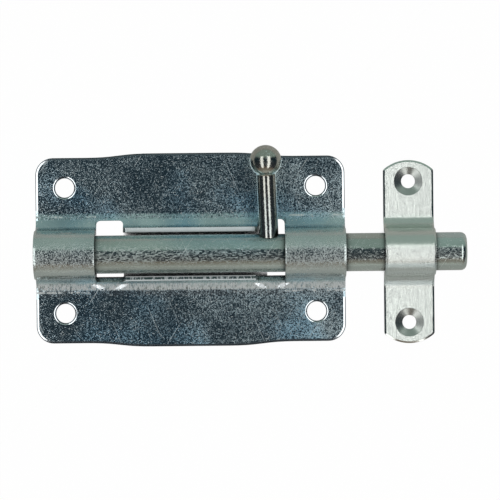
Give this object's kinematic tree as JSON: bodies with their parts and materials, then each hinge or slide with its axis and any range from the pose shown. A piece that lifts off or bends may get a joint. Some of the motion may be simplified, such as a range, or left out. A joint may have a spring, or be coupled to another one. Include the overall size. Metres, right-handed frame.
{
  "type": "door bolt",
  "caption": "Sheet steel plate bolt: a round bar with a ball headed pin slides in two formed loops of a screw-on plate and shoots into a bent keeper strap.",
  "frame": {"origin": "centre of the plate's four screw holes, on the back face that lies on the door", "axes": "+X along the bar towards the keeper, +Y towards the side the pin lies on when locked, +Z out from the door"},
  "size_m": [0.111, 0.0515, 0.0144],
  "materials": {
    "plate_zinc": "bright zinc plated sheet, fine grained",
    "bar_zinc": "zinc plated drawn bar",
    "pin_bright": "turned and polished, zinc plated",
    "keeper_zinc": "satin zinc plated strap with lengthwise drawing lines"
  },
  "bodies": {
    "plate": {"base_plate": "plate_zinc", "keeper": "keeper_zinc"},
    "bolt": {"bolt_rod": "bar_zinc"},
    "knob": {"knob_pin": "pin_bright"}
  },
  "joints": [
    {"name": "bolt_slide", "type": "slide", "parent": "plate", "child": "bolt", "axis": [1, 0, 0], "range_m": [-0.0416, 0.0012]},
    {"name": "knob_turn", "type": "hinge", "parent": "bolt", "child": "knob", "pos_m": [0.0204, -0.0011, 0.0055], "axis": [1, 0, 0], "range_deg": [-11.2, 166]}
  ]
}
